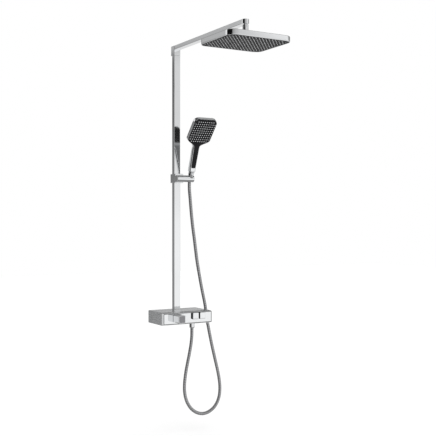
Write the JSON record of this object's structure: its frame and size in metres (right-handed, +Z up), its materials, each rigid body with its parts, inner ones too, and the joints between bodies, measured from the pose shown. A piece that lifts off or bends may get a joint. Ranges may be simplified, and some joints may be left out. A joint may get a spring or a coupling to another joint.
{
  "type": "rainfall shower column",
  "caption": "Wall-mounted shower column: mixer with knob and push buttons, slim rectangular riser and arm, square rain head, hand shower in a sliding tilting holder, and hose.",
  "frame": {"origin": "middle of the mixer's mounting plate, on the wall plane", "axes": "+Z up along the riser, +Y into the wall, +X to the right of someone facing the wall"},
  "size_m": [0.3205, 0.6755, 1.546],
  "materials": {
    "chrome": "polished chrome plate",
    "brushed_chrome": "brushed chrome plate",
    "plated_plastic": "chrome-plated ABS",
    "black_plastic": "black, satin",
    "white_plastic": "moulded, unpainted",
    "steel": "stainless, plain",
    "brass": "cast and machined",
    "rubber": "matt",
    "silicone": "soft, matt",
    "hose": "silver spiral under a clear skin"
  },
  "bodies": {
    "root": {"front_panel": "chrome", "riser_tube": "chrome", "elbow": "chrome", "arm_tube": "chrome", "arm_end": "chrome", "hose_lower_nut": "chrome", "outlet_nipple": "chrome", "mixer_housing": "brushed_chrome", "temperature_cartridge": "white_plastic", "rain_valve_cartridge": "white_plastic", "hand_valve_cartridge": "white_plastic", "mount_plate": "steel", "plate_screw_left": "steel", "plate_screw_right": "steel", "hot_inlet_filter": "steel", "cold_inlet_filter": "steel", "wall_bracket": "steel", "bracket_screw_lower": "steel", "bracket_screw_upper": "steel", "elbow_grub_screw": "steel", "rain_button_spring": "steel", "hand_button_spring": "steel", "hot_inlet_sleeve": "brass", "cold_inlet_sleeve": "brass", "hot_union_nut": "brass", "cold_union_nut": "brass", "mixer_body": "brass", "riser_connector": "brass", "outlet_washer": "rubber", "shower_hose": "hose"},
    "temperature_knob": {"temperature_knob": "chrome", "knob_front_plate": "black_plastic"},
    "stop_button": {"knob_stop_button": "black_plastic"},
    "rain_button": {"rain_button": "chrome"},
    "hand_button": {"hand_button": "chrome"},
    "slider": {"slider_body": "chrome", "slider_liner": "white_plastic", "brake_pad": "rubber", "pivot_link": "steel"},
    "holder": {"holder_bar": "chrome", "holder_bar_cap": "chrome", "socket_insert": "black_plastic"},
    "cone_nut": {"hose_cone_nut": "chrome", "hose_ferrule": "steel"},
    "handset": {"handset_shell": "plated_plastic", "handset_front_cover": "black_plastic", "handset_nozzle_mat": "silicone", "handset_collar": "plated_plastic"},
    "ball_stud": {"ball_stud": "chrome"},
    "swivel_nut": {"swivel_nut": "chrome", "ball_seat": "white_plastic"},
    "rain_head": {"rain_head_shell": "chrome", "rain_spray_plate": "black_plastic", "rain_nozzle_mat": "silicone", "rain_water_chamber": "white_plastic"}
  },
  "joints": [
    {"name": "temperature_turn", "type": "hinge", "parent": "root", "child": "temperature_knob", "pos_m": [-0.06, -0.139, 0.002], "axis": [0, -1, 0], "range_deg": [-135, 60]},
    {"name": "stop_button_press", "type": "slide", "parent": "temperature_knob", "child": "stop_button", "axis": [0, 0, -1], "range_m": [0, 0.0015], "stiffness_N_per_m": 300, "springref_m": -0.002},
    {"name": "rain_button_press", "type": "slide", "parent": "root", "child": "rain_button", "axis": [0, 1, 0], "range_m": [0, 0.004], "stiffness_N_per_m": 500, "springref_m": -0.004, "deforming": ["rain_button_spring"]},
    {"name": "hand_button_press", "type": "slide", "parent": "root", "child": "hand_button", "axis": [0, 1, 0], "range_m": [0, 0.004], "stiffness_N_per_m": 500, "springref_m": -0.004, "deforming": ["hand_button_spring"]},
    {"name": "slider_height", "type": "slide", "parent": "root", "child": "slider", "axis": [0, 0, 1], "range_m": [-0.3, 0.2], "deforming": ["shower_hose"]},
    {"name": "holder_tilt", "type": "hinge", "parent": "slider", "child": "holder", "pos_m": [0, -0.062, 0.5688], "axis": [1, 0, 0], "range_deg": [-20, 25]},
    {"name": "handset_lift", "type": "slide", "parent": "holder", "child": "cone_nut", "axis": [0, -0.3584, 0.9336], "range_m": [0, 0.04]},
    {"name": "handset_turn", "type": "hinge", "parent": "cone_nut", "child": "handset", "pos_m": [0.043, -0.062, 0.5688], "axis": [0, -0.3584, 0.9336], "range_deg": [-30, 30]},
    {"name": "head_direction", "type": "hinge", "parent": "root", "child": "ball_stud", "pos_m": [0, -0.56, 1.092], "axis": [0, 0, 1], "range_deg": [-90, 90]},
    {"name": "head_tilt", "type": "hinge", "parent": "ball_stud", "child": "swivel_nut", "pos_m": [0, -0.56, 1.092], "axis": [1, 0, 0], "range_deg": [-10, 10]},
    {"name": "head_swivel", "type": "hinge", "parent": "swivel_nut", "child": "rain_head", "pos_m": [0, -0.56, 1.092], "axis": [0, 0, 1], "range_deg": [-45, 45]}
  ]
}
